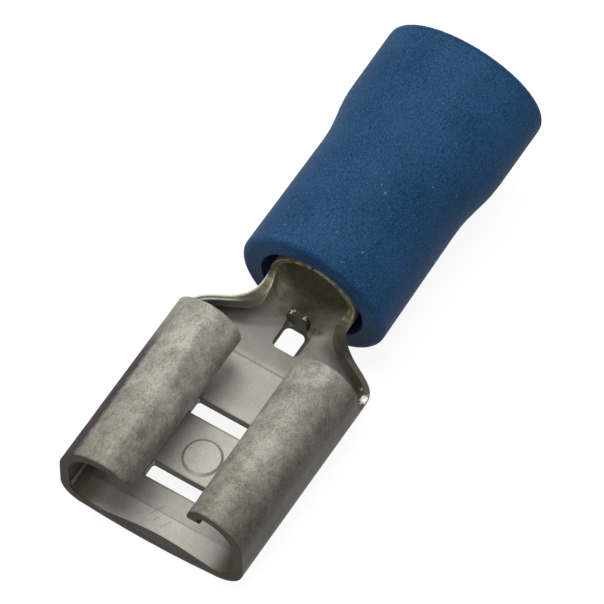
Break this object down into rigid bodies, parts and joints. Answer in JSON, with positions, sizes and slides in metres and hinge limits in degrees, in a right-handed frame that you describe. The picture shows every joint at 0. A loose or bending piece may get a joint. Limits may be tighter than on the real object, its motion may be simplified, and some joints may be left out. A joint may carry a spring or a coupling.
{
  "type": "insulated female spade terminal",
  "caption": "Crimp terminal with a sprung socket of rolled sheet for a flat tab, a round wire barrel behind it and a flared insulating sleeve over the barrel.",
  "frame": {"origin": "middle of the socket's mouth, on the mid-plane of the tab that slides in", "axes": "+X from the mouth along the terminal to the wire entry, +Y to the left seen from in front of the mouth, +Z from the floor to the rolled sides"},
  "size_m": [0.0173, 0.0063, 0.0049],
  "materials": {
    "tinned_brass": "matt tin plate over brass, bare brass at the sheared edges",
    "sleeve_plastic": "matt blue PVC"
  },
  "bodies": {
    "root": {"receptacle": "tinned_brass", "insulating_sleeve": "sleeve_plastic"}
  },
  "joints": []
}
